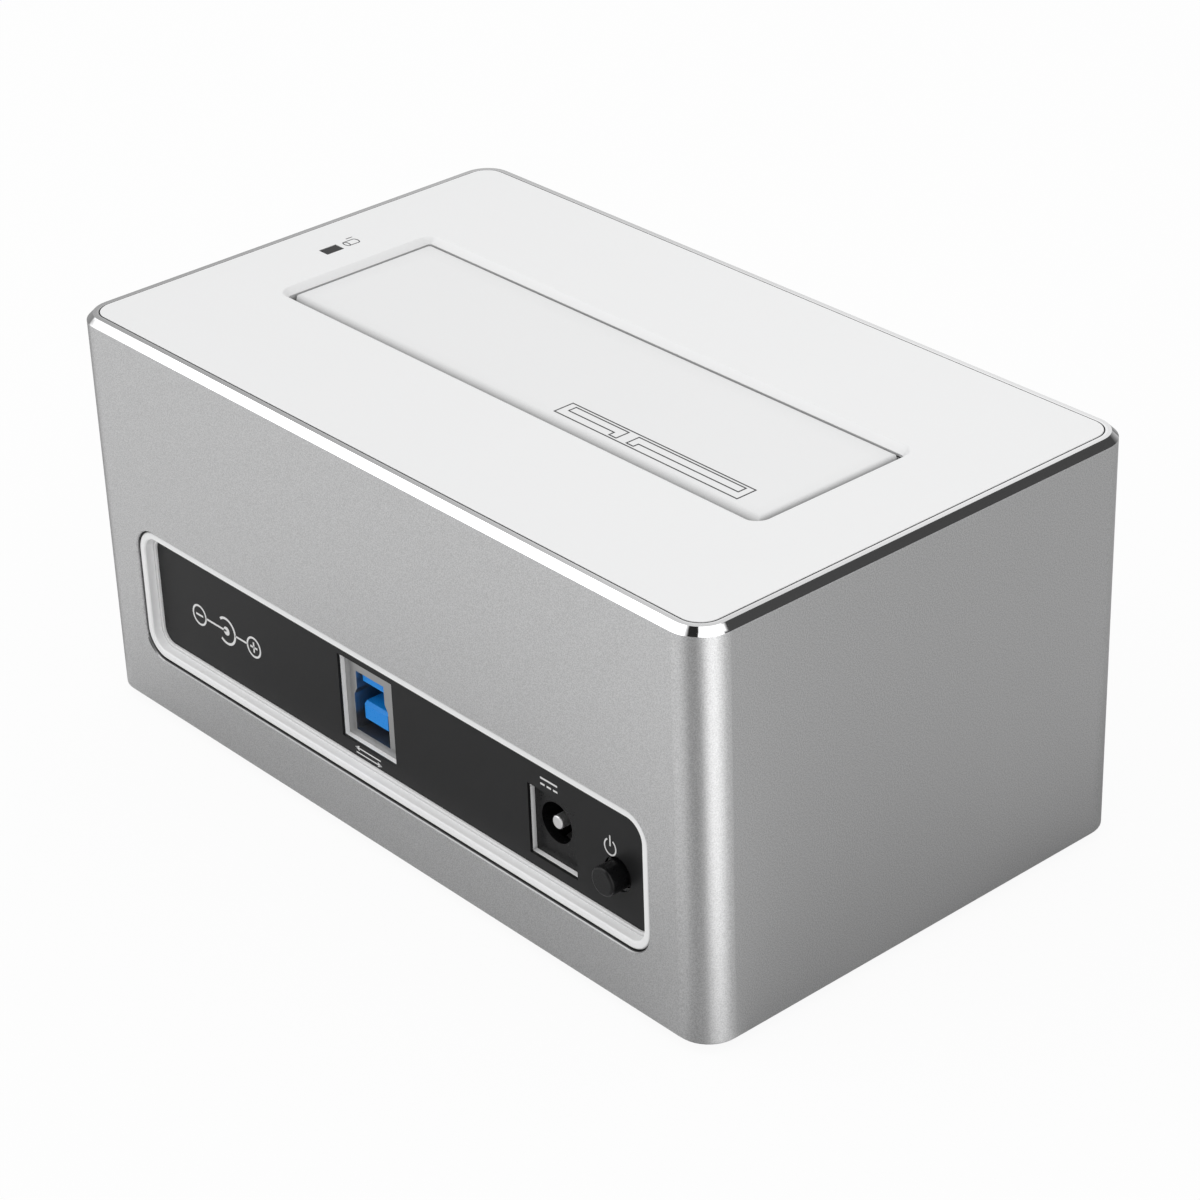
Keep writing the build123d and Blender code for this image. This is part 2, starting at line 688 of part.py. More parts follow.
# SATA receptacle that the drive plugs onto
signal_end = sata_x + sata_block_length / 2 - 0.9
power_end = sata_x - sata_block_length / 2 + 0.9
with BuildPart() as sata_receptacle:
    with BuildSketch(Plane.XY.offset(board_top)):
        with Locations((sata_x, sata_y)):
            Rectangle(sata_base_length, sata_base_depth)
    extrude(amount=sata_base_height)
    with BuildSketch(Plane.XY.offset(board_top)):
        with Locations((sata_x, sata_y)):
            Rectangle(sata_block_length, sata_block_depth)
    extrude(amount=sata_block_height)
    for side in (-1, 1):
        with BuildSketch(Plane.XY.offset(board_top)):
            with Locations((sata_x + side * (sata_base_length - sata_guide_length) / 2, sata_y)):
                Rectangle(sata_guide_length, sata_block_depth)
        extrude(amount=sata_guide_height)
    # L-shaped slots for the drive's two tongues, open down to the board
    with BuildSketch(Plane.XY.offset(board_top)):
        with Locations((power_end, sata_y)):
            Rectangle(sata_power_length, sata_slot_width, align=(Align.MIN, Align.CENTER))
            Rectangle(sata_rib, sata_key + sata_slot_width / 2, align=(Align.MIN, Align.MIN))
        with Locations((signal_end, sata_y)):
            Rectangle(sata_signal_length, sata_slot_width, align=(Align.MAX, Align.CENTER))
            Rectangle(sata_rib, sata_key + sata_slot_width / 2, align=(Align.MAX, Align.MIN))
    extrude(amount=sata_block_height, mode=Mode.SUBTRACT)

# Contacts of the receptacle: fifteen for power and seven for signal
contact_places = []
for index in range(15):
    contact_places.append(power_end + 1.4 + index * sata_pitch)
for index in range(7):
    contact_places.append(signal_end - 1.4 - index * sata_pitch)
with BuildPart() as sata_contacts:
    with BuildSketch(Plane.XY.offset(board_top)):
        for place in contact_places:
            with Locations((place, sata_y - sata_slot_width / 2 + 0.05)):
                Rectangle(sata_contact_width, sata_contact_thick, align=(Align.CENTER, Align.MIN))
    extrude(amount=sata_block_height - 1.0)

# USB socket: sheet shell with its lined mouth, moulded insulator and contacts
def usb_mouth(margin):
    """The outline of the mouth, widened all round by the margin."""
    half = usb_mouth_half + margin
    neck_half = usb_neck_half + margin
    low = usb_mouth_bottom - margin
    shoulder = usb_mouth_shoulder + 0.27 * margin
    neck = usb_mouth_neck + 0.27 * margin
    high = usb_mouth_top + margin
    right_side = [(half, low), (half, shoulder), (neck_half, neck), (neck_half, high)]
    left_side = [(-x, z) for x, z in reversed(right_side)]
    with BuildSketch() as outline:
        with BuildLine():
            Polyline([(usb_x + x, z) for x, z in right_side + left_side], close=True)
        make_face()
    return outline.sketch


usb_front = rear - usb_inset
usb_back = usb_front - usb_depth
with BuildPart() as usb_shell:
    with BuildSketch(rear_plane(usb_inset)):
        with Locations((usb_x, (usb_bottom + usb_top) / 2)):
            RectangleRounded(usb_width, usb_height, 0.6)
    extrude(amount=usb_depth)
    with BuildSketch(rear_plane(usb_inset + usb_sheet)):
        with Locations((usb_x, (usb_bottom + usb_top) / 2)):
            Rectangle(usb_width - 2 * usb_sheet, usb_height - 2 * usb_sheet)
    extrude(amount=usb_depth, mode=Mode.SUBTRACT)
    # front plate that fills the opening in the panel
    with BuildSketch(rear_plane(usb_inset)):
        with Locations((usb_cut_x, usb_cut_z)):
            Rectangle(usb_cut_width + 2 * usb_plate_margin, usb_cut_height + 2 * usb_plate_margin)
    extrude(amount=usb_sheet)
    with BuildSketch(rear_plane(usb_inset)):
        add(usb_mouth(0))
    extrude(amount=usb_sheet, mode=Mode.SUBTRACT)
    with BuildSketch(rear_plane(usb_inset + usb_sheet)):
        add(usb_mouth(usb_liner))
        add(usb_mouth(0), mode=Mode.SUBTRACT)
    extrude(amount=usb_cavity_depth - usb_sheet)
    # solder legs of the shell
    with BuildSketch(Plane.XY.offset(board_top)):
        for side in (-1, 1):
            with Locations((usb_x + side * (usb_width - usb_sheet) / 2, usb_front - 8.0)):
                Rectangle(usb_sheet, 2.4)
    extrude(amount=2.0)

with BuildPart() as usb_insulator:
    with BuildSketch(rear_plane(usb_inset + usb_cavity_depth + 0.05)):
        with Locations((usb_x, (usb_bottom + usb_top) / 2)):
            Rectangle(usb_width - 2 * usb_sheet - 0.1, usb_height - 2 * usb_sheet - 0.1)
    extrude(amount=usb_depth - usb_cavity_depth - 0.6)
    with BuildSketch(rear_plane(usb_inset + usb_tongue_inset)):
        for low, high in ((usb_tongue_bottom, usb_tongue_top), (usb_upper_bottom, usb_upper_top)):
            with Locations((usb_x, low)):
                Rectangle(2 * usb_tongue_half, high - low, align=(Align.CENTER, Align.MIN))
    extrude(amount=usb_cavity_depth)
    # the lower tongue has a bevelled front edge
    tongue_edges = usb_insulator.edges().filter_by(Axis.X)
    tongue_edges = tongue_edges.filter_by_position(Axis.Z, usb_tongue_top - 0.01, usb_tongue_top + 0.01)
    chamfer(tongue_edges.sort_by(Axis.Y)[-1], 0.45)

with BuildPart() as usb_contacts:
    for face_z, spots in ((usb_tongue_bottom, (-1.95, -0.65, 0.65, 1.95)),
                          (usb_upper_bottom, (-2.0, -1.0, 0.0, 1.0, 2.0))):
        with BuildSketch(Plane.XY.offset(face_z)):
            for spot in spots:
                with Locations((usb_x + spot, usb_front - usb_tongue_inset - 1.0)):
                    Rectangle(0.7, usb_cavity_depth - 2.0, align=(Align.CENTER, Align.MAX))
        extrude(amount=-usb_contact_thick)

# DC jack: body, centre pin and sleeve spring
jack_front = rear - jack_inset
with BuildPart() as jack_body:
    with BuildSketch(rear_plane(jack_inset)):
        with Locations((jack_x, jack_bottom)):
            Rectangle(jack_width, jack_top - jack_bottom, align=(Align.CENTER, Align.MIN))
    extrude(amount=jack_depth)
    fillet(jack_body.edges().filter_by(Axis.Y).group_by(Axis.Z)[-1], 0.3)
    # lip that hangs down in front of the board's edge
    with BuildSketch(rear_plane(jack_inset)):
        with Locations((jack_x, jack_bottom - jack_lip_drop)):
            Rectangle(jack_width, jack_lip_drop + 0.5, align=(Align.CENTER, Align.MIN))
    extrude(amount=jack_lip_thick)
    with BuildSketch(rear_plane(jack_inset)):
        with Locations((jack_x, jack_z)):
            Circle(jack_bore_radius)
    extrude(amount=jack_bore_depth, mode=Mode.SUBTRACT)
    with BuildSketch(rear_plane(jack_inset)):
        with Locations((jack_x, jack_z)):
            Circle(jack_pin_radius)
    extrude(amount=jack_depth, mode=Mode.SUBTRACT)
    # slot for the sleeve spring, under the bore
    with BuildSketch(rear_plane(jack_inset + 1.5)):
        with Locations((jack_x, jack_z - jack_bore_radius)):
            Rectangle(3.0, 2.0)
    extrude(amount=jack_depth, mode=Mode.SUBTRACT)

with BuildPart() as jack_pin:
    with BuildSketch(rear_plane(jack_inset)):
        with Locations((jack_x, jack_z)):
            Circle(jack_pin_radius)
    extrude(amount=jack_depth + 0.6)
    fillet(jack_pin.faces().sort_by(Axis.Y)[-1].edges(), 0.25)

spring_floor = jack_z - jack_bore_radius - 0.85
with BuildPart() as jack_spring:
    with BuildSketch(across(jack_x - 1.2)):
        with BuildLine():
            Polyline((jack_front - 2.5, spring_floor), (jack_front - 6.0, spring_floor + 0.9),
                     (jack_front - 9.0, spring_floor + 0.1),
                     (jack_front - jack_depth, spring_floor + 0.1),
                     (jack_front - jack_depth, spring_floor + 0.35),
                     (jack_front - 8.95, spring_floor + 0.35),
                     (jack_front - 6.0, spring_floor + 1.15),
                     (jack_front - 2.5, spring_floor + 0.25), close=True)
        make_face()
    extrude(amount=2.4)

# Parts soldered to the board
with BuildPart() as bridge_chip:
    with BuildSketch(Plane.XY.offset(board_top)):
        with Locations((14.0, 8.0)):
            Rectangle(7.0, 7.0)
    extrude(amount=0.9)

with BuildPart() as flash_chip:
    with BuildSketch(Plane.XY.offset(board_top + 0.15)):
        with Locations((25.0, 8.0)):
            Rectangle(3.9, 4.9)
    extrude(amount=1.3)
    with BuildSketch(Plane.XY.offset(board_top)):
        with Locations((25.0, 8.0)):
            with GridLocations(0, 1.27, 1, 4):
                Rectangle(6.0, 0.42)
    extrude(amount=0.3)

with BuildPart() as clock_crystal:
    with BuildSketch(Plane.XY.offset(board_top)):
        with Locations((14.0, 0.0)):
            RectangleRounded(3.2, 2.5, 0.3)
    extrude(amount=0.8)

with BuildPart() as power_inductors:
    with BuildSketch(Plane.XY.offset(board_top)):
        with Locations((-16.0, -23.5), (6.0, -23.5)):
            RectangleRounded(7.0, 7.0, 1.0)
    extrude(amount=3.8)

with BuildPart() as supply_regulators:
    with BuildSketch(Plane.XY.offset(board_top + 0.15)):
        with Locations((-27.0, -23.5), (17.0, -23.5)):
            Rectangle(4.9, 3.9)
    extrude(amount=1.3)
    with BuildSketch(Plane.XY.offset(board_top)):
        with Locations((-27.0, -23.5), (17.0, -23.5)):
            with GridLocations(1.27, 0, 4, 1):
                Rectangle(0.42, 6.0)
    extrude(amount=0.3)

with BuildPart() as supply_capacitors:
    with BuildSketch(Plane.XY.offset(board_top)):
        with Locations((-38.0, -23.5), (28.0, -23.5), (-22.0, 27.0), (-13.0, 27.0)):
            Circle(3.15)
    extrude(amount=7.0)
    fillet(supply_capacitors.faces().group_by(Axis.Z)[-1].edges(), 0.5)

with BuildPart() as chip_resistors:
    with BuildSketch(Plane.XY.offset(board_top)):
        with Locations((24.0, 24.0)):
            with GridLocations(3.4, 3.0, 5, 3):
                Rectangle(1.6, 0.8)
    extrude(amount=0.45)

# Bottom cover
with BuildPart() as bottom_cover:
    with BuildSketch(Plane.XY.offset(shell_bottom)):
        RectangleRounded(cover_length, cover_depth, cover_corner)
    extrude(amount=base_thick)
    chamfer(bottom_cover.faces().sort_by(Axis.Z)[0].edges(), 0.3)
    with BuildSketch(Plane.XY.offset(base_top)):
        RectangleRounded(skirt_length, skirt_depth, skirt_corner)
        RectangleRounded(skirt_length - 2 * skirt_thick, skirt_depth - 2 * skirt_thick,
                         skirt_corner - skirt_thick, mode=Mode.SUBTRACT)
    extrude(amount=skirt_height)
    # bosses for the case screws
    with BuildSketch(Plane.XY.offset(base_top)):
        with GridLocations(2 * post_x, 2 * post_y, 2, 2):
            Circle(boss_radius)
    extrude(amount=post_split - base_top)
    with BuildSketch(Plane.XY.offset(shell_bottom)):
        with GridLocations(2 * post_x, 2 * post_y, 2, 2):
            Circle(case_shank_radius + 0.2)
    extrude(amount=post_split, mode=Mode.SUBTRACT)
    with BuildSketch(Plane.XY.offset(shell_bottom)):
        with GridLocations(2 * post_x, 2 * post_y, 2, 2):
            Circle(case_head_radius + head_slack)
    extrude(amount=case_head_base + case_head_height - shell_bottom, mode=Mode.SUBTRACT)
    # standoffs for the board, and plain supports under the frame's legs
    with BuildSketch(Plane.XY.offset(base_top)):
        with Locations(*board_screws_at, *leg_places):
            Circle(standoff_radius)
    extrude(amount=board_bottom - base_top)
    with BuildSketch(Plane.XY.offset(base_top)):
        with Locations(*board_screws_at):
            Circle(small_shank_radius + screw_slack)
    extrude(amount=board_bottom - base_top, mode=Mode.SUBTRACT)
    # ribs behind the bezel's flange
    with BuildSketch(Plane.XY.offset(base_top)):
        with Locations((30.0, rib_y), (-18.0, rib_y)):
            Rectangle(6.0, rib_thick)
    extrude(amount=board_bottom - 0.4 - base_top)
    # seats for the feet
    with BuildSketch(Plane.XY.offset(shell_bottom)):
        with GridLocations(2 * foot_x, 2 * foot_y, 2, 2):
            Circle(foot_radius + 0.1)
    extrude(amount=foot_sink, mode=Mode.SUBTRACT)

# Rubber feet
feet = {}
for front_or_rear, y_sign in (("front", -1), ("rear", 1)):
    for left_or_right, x_sign in (("left", -1), ("right", 1)):
        with BuildPart() as foot:
            with BuildSketch():
                with Locations((x_sign * foot_x, y_sign * foot_y)):
                    Circle(foot_radius)
            extrude(amount=shell_bottom + foot_sink)
            fillet(foot.faces().sort_by(Axis.Z)[0].edges(), foot_round)
        feet[f"foot_{front_or_rear}_{left_or_right}"] = foot

# Screws, each kind as one group
corners = [(x, y) for x in (-post_x, post_x) for y in (-post_y, post_y)]
case_screws = screw_group(corners, case_head_base, case_head_radius, case_head_height,
                          case_shank_radius, case_shank_length, upward=True)
frame_screws = screw_group(ear_places, ear_top - ear_thick - small_head_height, small_head_radius,
                           small_head_height, small_shank_radius, 5.0, upward=True)
board_screws = screw_group(board_screws_at, board_top + small_head_height, small_head_radius,
                           small_head_height, small_shank_radius, 7.0, upward=False)

# Labels and files
os.makedirs("parts", exist_ok=True)
outer_shell.part.label = "outer_shell"
export_step(outer_shell.part, "parts/outer_shell.step")
top_cover.part.label = "top_cover"
export_step(top_cover.part, "parts/top_cover.step")
slot_flap.part.label = "slot_flap"
export_step(slot_flap.part, "parts/slot_flap.step")
hinge_rod.part.label = "hinge_rod"
export_step(hinge_rod.part, "parts/hinge_rod.step")
flap_springs[0].part.label = "flap_spring_left"
export_step(flap_springs[0].part, "parts/flap_spring_left.step")
flap_springs[1].part.label = "flap_spring_right"
export_step(flap_springs[1].part, "parts/flap_spring_right.step")
bay_frame.part.label = "bay_frame"
export_step(bay_frame.part, "parts/bay_frame.step")
light_pipe.part.label = "light_pipe"
export_step(light_pipe.part, "parts/light_pipe.step")
activity_led.part.label = "activity_led"
export_step(activity_led.part, "parts/activity_led.step")
rear_bezel.part.label = "rear_bezel"
export_step(rear_bezel.part, "parts/rear_bezel.step")
rear_panel.part.label = "rear_panel"
export_step(rear_panel.part, "parts/rear_panel.step")
power_button.part.label = "power_button"
export_step(power_button.part, "parts/power_button.step")
switch_plunger.part.label = "switch_plunger"
export_step(switch_plunger.part, "parts/switch_plunger.step")
switch_housing.part.label = "switch_housing"
export_step(switch_housing.part, "parts/switch_housing.step")
switch_spring.part.label = "switch_spring"
export_step(switch_spring.part, "parts/switch_spring.step")
main_board.part.label = "main_board"
export_step(main_board.part, "parts/main_board.step")
sata_receptacle.part.label = "sata_receptacle"
export_step(sata_receptacle.part, "parts/sata_receptacle.step")
sata_contacts.part.label = "sata_contacts"
export_step(sata_contacts.part, "parts/sata_contacts.step")
usb_shell.part.label = "usb_shell"
export_step(usb_shell.part, "parts/usb_shell.step")
usb_insulator.part.label = "usb_insulator"
export_step(usb_insulator.part, "parts/usb_insulator.step")
usb_contacts.part.label = "usb_contacts"
export_step(usb_contacts.part, "parts/usb_contacts.step")
jack_body.part.label = "jack_body"
export_step(jack_body.part, "parts/jack_body.step")
jack_pin.part.label = "jack_pin"
export_step(jack_pin.part, "parts/jack_pin.step")
jack_spring.part.label = "jack_spring"
export_step(jack_spring.part, "parts/jack_spring.step")
bridge_chip.part.label = "bridge_chip"
export_step(bridge_chip.part, "parts/bridge_chip.step")
flash_chip.part.label = "flash_chip"
export_step(flash_chip.part, "parts/flash_chip.step")
clock_crystal.part.label = "clock_crystal"
export_step(clock_crystal.part, "parts/clock_crystal.step")
power_inductors.part.label = "power_inductors"
export_step(power_inductors.part, "parts/power_inductors.step")
supply_regulators.part.label = "supply_regulators"
export_step(supply_regulators.part, "parts/supply_regulators.step")
supply_capacitors.part.label = "supply_capacitors"
export_step(supply_capacitors.part, "parts/supply_capacitors.step")
chip_resistors.part.label = "chip_resistors"
export_step(chip_resistors.part, "parts/chip_resistors.step")
bottom_cover.part.label = "bottom_cover"
export_step(bottom_cover.part, "parts/bottom_cover.step")
case_screws.part.label = "case_screws"
export_step(case_screws.part, "parts/case_screws.step")
frame_screws.part.label = "frame_screws"
export_step(frame_screws.part, "parts/frame_screws.step")
board_screws.part.label = "board_screws"
export_step(board_screws.part, "parts/board_screws.step")
for name, foot in feet.items():
    foot.part.label = name
    export_step(foot.part, f"parts/{name}.step")
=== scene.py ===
"""Looks, light and camera for the hard drive docking station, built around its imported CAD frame.

Lengths are in metres, in the frame of the CAD model: X along the long side, Y out of the rear face.
"""
import json
import math

import bmesh
import bpy
from mathutils import Matrix, Vector


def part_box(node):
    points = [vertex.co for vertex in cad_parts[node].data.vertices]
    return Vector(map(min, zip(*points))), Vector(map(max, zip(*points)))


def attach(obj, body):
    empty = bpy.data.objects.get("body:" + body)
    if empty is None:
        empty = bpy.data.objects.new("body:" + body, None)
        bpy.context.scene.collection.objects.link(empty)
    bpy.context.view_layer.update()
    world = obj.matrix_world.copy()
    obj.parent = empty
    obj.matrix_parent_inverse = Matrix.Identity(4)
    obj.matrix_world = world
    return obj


MM = 0.001

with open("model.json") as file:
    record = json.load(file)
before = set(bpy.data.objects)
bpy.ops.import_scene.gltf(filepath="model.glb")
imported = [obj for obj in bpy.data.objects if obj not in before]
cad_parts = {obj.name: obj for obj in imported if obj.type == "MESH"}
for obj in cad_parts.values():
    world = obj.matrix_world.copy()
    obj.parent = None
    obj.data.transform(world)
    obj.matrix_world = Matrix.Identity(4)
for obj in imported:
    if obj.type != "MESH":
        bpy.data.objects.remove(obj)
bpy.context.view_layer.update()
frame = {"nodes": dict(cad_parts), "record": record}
parts = frame["nodes"]
scene = bpy.context.scene

# Surfaces that carry printed marks, and the ink on them
FLAP_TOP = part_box("slot_flap")[1].z
COVER_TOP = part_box("top_cover")[1].z
PANEL_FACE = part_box("rear_panel")[1].y
PRINT_THICKNESS = 0.03 * MM
PRINT_SINK = 0.01 * MM

# Aluminium sleeve: its top, the foot of its polished chamfer and the middle of its window
SHELL_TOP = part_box("outer_shell")[1].z
CHAMFER_FOOT = 65.15 * MM
WINDOW_Z = (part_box("rear_panel")[0].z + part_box("rear_panel")[1].z) / 2

# Inside of the sleeve and outline of the top cover: half length, half depth and corner radius
SHELL_BORE = (68.1 * MM, 39.6 * MM, 3.6 * MM)
COVER_EDGE = (67.9 * MM, 39.4 * MM, 3.4 * MM)

# How far a surface looks for cover, for the painted shade in the nooks of the mouldings and in narrow
# gaps
NOOK_SIZE = 4.5 * MM
GAP_SIZE = 0.7 * MM
COVER_SAMPLES = 12


class Nodes:
    """A node tree and short ways to add to it."""

    def __init__(self, tree):
        self.tree = tree

    def add(self, kind, settings=None, **inputs):
        node = self.tree.nodes.new(kind)
        for key, value in (settings or {}).items():
            setattr(node, key, value)
        for key, value in inputs.items():
            self.feed(node.inputs[key.replace("_", " ")], value)
        return node

    def feed(self, socket, value):
        if isinstance(value, bpy.types.NodeSocket):
            self.tree.links.new(value, socket)
        else:
            socket.default_value = value

    def math(self, operation, a, b=None):
        node = self.add("ShaderNodeMath", {"operation": operation})
        for index, value in enumerate((a, b)):
            if value is not None:
                self.feed(node.inputs[index], value)
        return node.outputs[0]

    def ramp(self, value, low, high, to_low=0.0, to_high=1.0):
        node = self.add("ShaderNodeMapRange", Value=value, From_Min=low, From_Max=high,
                        To_Min=to_low, To_Max=to_high)
        return node.outputs[0]

    def axes(self, vector):
        return self.add("ShaderNodeSeparateXYZ", Vector=vector).outputs

    def distance_outside(self, place, half_x, half_y, corner):
        """How far a place is outside a rounded rectangle, in plan."""
        past_x = self.math("SUBTRACT", self.math("ABSOLUTE", place["X"]), half_x - corner)
        past_y = self.math("SUBTRACT", self.math("ABSOLUTE", place["Y"]), half_y - corner)
        past_x = self.math("MAXIMUM", past_x, 0.0)
        past_y = self.math("MAXIMUM", past_y, 0.0)
        square_x = self.math("MULTIPLY", past_x, past_x)
        square_y = self.math("MULTIPLY", past_y, past_y)
        past = self.math("SQRT", self.math("ADD", square_x, square_y))
        return self.math("SUBTRACT", past, corner)


class Shader(Nodes):
    """A Principled material and the textures and blends it is made of."""

    def __init__(self, name, color, roughness, metallic=0.0, **sockets):
        self.material = bpy.data.materials.new(name)
        self.material.use_nodes = True
        super().__init__(self.material.node_tree)
        self.surface = self.tree.nodes["Principled BSDF"]
        self.surface.inputs["Base Color"].default_value = (*color, 1.0)
        self.surface.inputs["Roughness"].default_value = roughness
        self.surface.inputs["Metallic"].default_value = metallic
        for socket, value in sockets.items():
            self.surface.inputs[socket.replace("_", " ")].default_value = value
        coordinates = self.add("ShaderNodeTexCoord").outputs
        self.place = coordinates["Object"]
        self.facing = coordinates["Normal"]

    def noise(self, scale, detail=2.0, roughness=0.5, stretch=None):
        place = self.place
        if stretch:
            place = self.add("ShaderNodeMapping", Vector=place, Scale=stretch).outputs[0]
        node = self.add("ShaderNodeTexNoise", Vector=place, Scale=scale, Detail=detail,
                        Roughness=roughness)
        return node.outputs["Fac"]

    def open_sky(self, reach):
        """Near 1 where nothing stands within reach of the surface, and less where it is covered."""
        node = self.add("ShaderNodeAmbientOcclusion", {"samples": COVER_SAMPLES}, Distance=reach)
        return node.outputs["AO"]

    def blend_colors(self, factor, a, b):
        node = self.add("ShaderNodeMix", {"data_type": "RGBA"})
        self.feed(node.inputs[0], factor)
        self.feed(node.inputs[6], a if isinstance(a, bpy.types.NodeSocket) else (*a, 1.0))
        self.feed(node.inputs[7], b if isinstance(b, bpy.types.NodeSocket) else (*b, 1.0))
        return node.outputs[2]

    def blend_values(self, factor, a, b):
        node = self.add("ShaderNodeMix")
        self.feed(node.inputs[0], factor)
        self.feed(node.inputs[2], a)
        self.feed(node.inputs[3], b)
        return node.outputs[0]

    def bump(self, height, distance, strength=1.0):
        node = self.add("ShaderNodeBump", Height=height, Distance=distance, Strength=strength)
        self.feed(self.surface.inputs["Normal"], node.outputs[0])

    def color(self, value):
        self.feed(self.surface.inputs["Base Color"], value)

    def roughness(self, value):
        self.feed(self.surface.inputs["Roughness"], value)


def scaled(color, factor):
    return tuple(channel * factor for channel in color)


def moulded(name, color, roughness, grain=0.25, depth=0.004, uneven=0.03, nook_shade=0.0, narrow=0.0,
            **sockets):
    """Moulded plastic: a fine erosion grain, slightly uneven colour and gloss, and painted shade
    in its nooks.

    Grain and depth are in millimetres. Nook shade is the share of its colour that a covered place
    loses as painted shade, and narrow is how open a place may be and still lose all of that share.
    """
    shader = Shader(name, color, roughness, **sockets)
    fine = shader.noise(1.0 / (grain * MM), 3.0, 0.6)
    broad = shader.noise(60.0, 2.0)
    surface = shader.blend_colors(broad, scaled(color, 1 - uneven), scaled(color, 1 + uneven))
    # Painted shade: places covered within the nook reach lose part of their colour
    if nook_shade:
        open_sky = shader.ramp(shader.open_sky(NOOK_SIZE), narrow, 1.0)
        surface = shader.blend_colors(open_sky, scaled(color, 1 - nook_shade), surface)
    shader.color(surface)
    shader.roughness(shader.ramp(fine, 0.3, 0.7, roughness - 0.04, roughness + 0.05))
    shader.bump(fine, depth * MM)
    return shader.material


def drawn_metal(name, color, roughness, stretch=(1, 1, 1), grain=0.3, depth=0.003):
    """Metal with fine marks, drawn out along the axis whose stretch is small."""
    shader = Shader(name, color, roughness, metallic=1.0)
    marks = shader.noise(1.0 / (grain * MM), 3.0, 0.6, stretch)
    shader.color(shader.blend_colors(marks, scaled(color, 0.92), scaled(color, 1.06)))
    shader.roughness(shader.ramp(marks, 0.3, 0.7, roughness - 0.05, roughness + 0.08))
    shader.bump(marks, depth * MM)
    return shader.material


def blasted_shell():
    """Bead-blasted aluminium with a polished chamfer and a satin rim round the top, a painted
    highlight along the rim's inner edge and painted shade on cut edges that face up.
    """
    matt, satin, bright = (0.62, 0.621, 0.624), (0.80, 0.80, 0.805), (0.90, 0.90, 0.905)
    satin_roughness, bright_roughness = 0.22, 0.06
    bright_edge = 0.3 * MM
    bead_scale, bead_depth = 5200.0, 0.012 * MM
    shader = Shader("blasted_aluminium", matt, 0.33, metallic=1.0)
    place = shader.axes(shader.place)
    facing = shader.axes(shader.facing)

    # Masks of the rim, of the chamfer below it, of the rim's inner edge (painted highlight) and of the
    # cut edges that face up (painted shade)
    above = shader.math("GREATER_THAN", place["Z"], CHAMFER_FOOT)
    on_rim = shader.math("MULTIPLY", above, shader.math("GREATER_THAN", facing["Z"], 0.9))
    polished = shader.math("SUBTRACT", above, on_rim)
    inner_edge_highlight = shader.math("LESS_THAN", shader.distance_outside(place, *SHELL_BORE), bright_edge)
    up_edge_shade = shader.math("GREATER_THAN", facing["Z"], 0.3)

    beads = shader.noise(bead_scale, 1.0, 0.5)
    tone = shader.ramp(beads, 0.34, 0.66)
    surface = shader.blend_colors(tone, scaled(matt, 0.86), scaled(matt, 1.14))
    # Painted shade: cut edges that face up are darkened
    surface = shader.blend_colors(up_edge_shade, surface, scaled(matt, 0.55))
    # Painted highlight: the rim is brighter along its inner edge
    surface = shader.blend_colors(on_rim, surface, shader.blend_colors(inner_edge_highlight, satin, bright))
    shader.color(shader.blend_colors(polished, surface, bright))

    roughness = shader.ramp(beads, 0.35, 0.65, 0.30, 0.36)
    roughness = shader.blend_values(on_rim, roughness, satin_roughness)
    shader.roughness(shader.blend_values(polished, roughness, bright_roughness))
    relief = shader.math("MULTIPLY", beads, shader.math("SUBTRACT", 1.0, above))
    shader.bump(relief, bead_depth, 0.5)
    return shader.material


def bezel_plastic():
    """White plastic, painted lighter on its inner walls than on the faces that look out of the rear,
    with painted shade in narrow gaps.
    """
    face, wall_painted_light, gap = (0.86, 0.862, 0.864), (0.96, 0.962, 0.964), (0.20, 0.20, 0.20)
    wall_reach = -4 * MM
    shader = Shader("bezel_plastic", face, 0.50, Specular_IOR_Level=0.3)
    place = shader.axes(shader.place)
    facing = shader.axes(shader.facing)
    # Painted light: surfaces that do not look out of the rear get a lighter colour
    in_front = shader.math("GREATER_THAN", facing["Y"], 0.7)
    surface = shader.blend_colors(in_front, wall_painted_light, face)

    # Along its own facing, an inner wall lies behind the middle of the window, by 4 mm at least
    across = shader.math("MULTIPLY", place["X"], facing["X"])
    up = shader.math("MULTIPLY", shader.math("SUBTRACT", place["Z"], WINDOW_Z), facing["Z"])
    inner_wall = shader.math("LESS_THAN", shader.math("ADD", across, up), wall_reach)
    # Painted shade: narrow gaps darken to dark grey, except on the inner walls
    open_sky = shader.math("MAXIMUM", shader.open_sky(GAP_SIZE), inner_wall)
    shader.color(shader.blend_colors(open_sky, gap, surface))

    fine = shader.noise(4000.0, 3.0, 0.6)
    shader.roughness(shader.ramp(fine, 0.3, 0.7, 0.46, 0.55))
    shader.bump(fine, 0.001 * MM)
    return shader.material


def board_lacquer():
    """Green solder mask over the tracks of a circuit board."""
    dark, light = (0.010, 0.075, 0.035), (0.018, 0.120, 0.055)
    shader = Shader("board_lacquer", dark, 0.3, Coat_Weight=0.3)
    tracks = shader.add("ShaderNodeTexBrick", {"offset": 0.37, "squash": 0.7, "squash_frequency": 3},
                        Vector=shader.place, Scale=240.0, Mortar_Size=0.03, Bias=0.2,
                        Color1=(0, 0, 0, 1), Color2=(1, 1, 1, 1), Mortar=(0.5, 0.5, 0.5, 1))
    shader.color(shader.blend_colors(tracks.outputs["Color"], dark, light))
    shader.bump(tracks.outputs["Fac"], 0.01 * MM)
    return shader.material


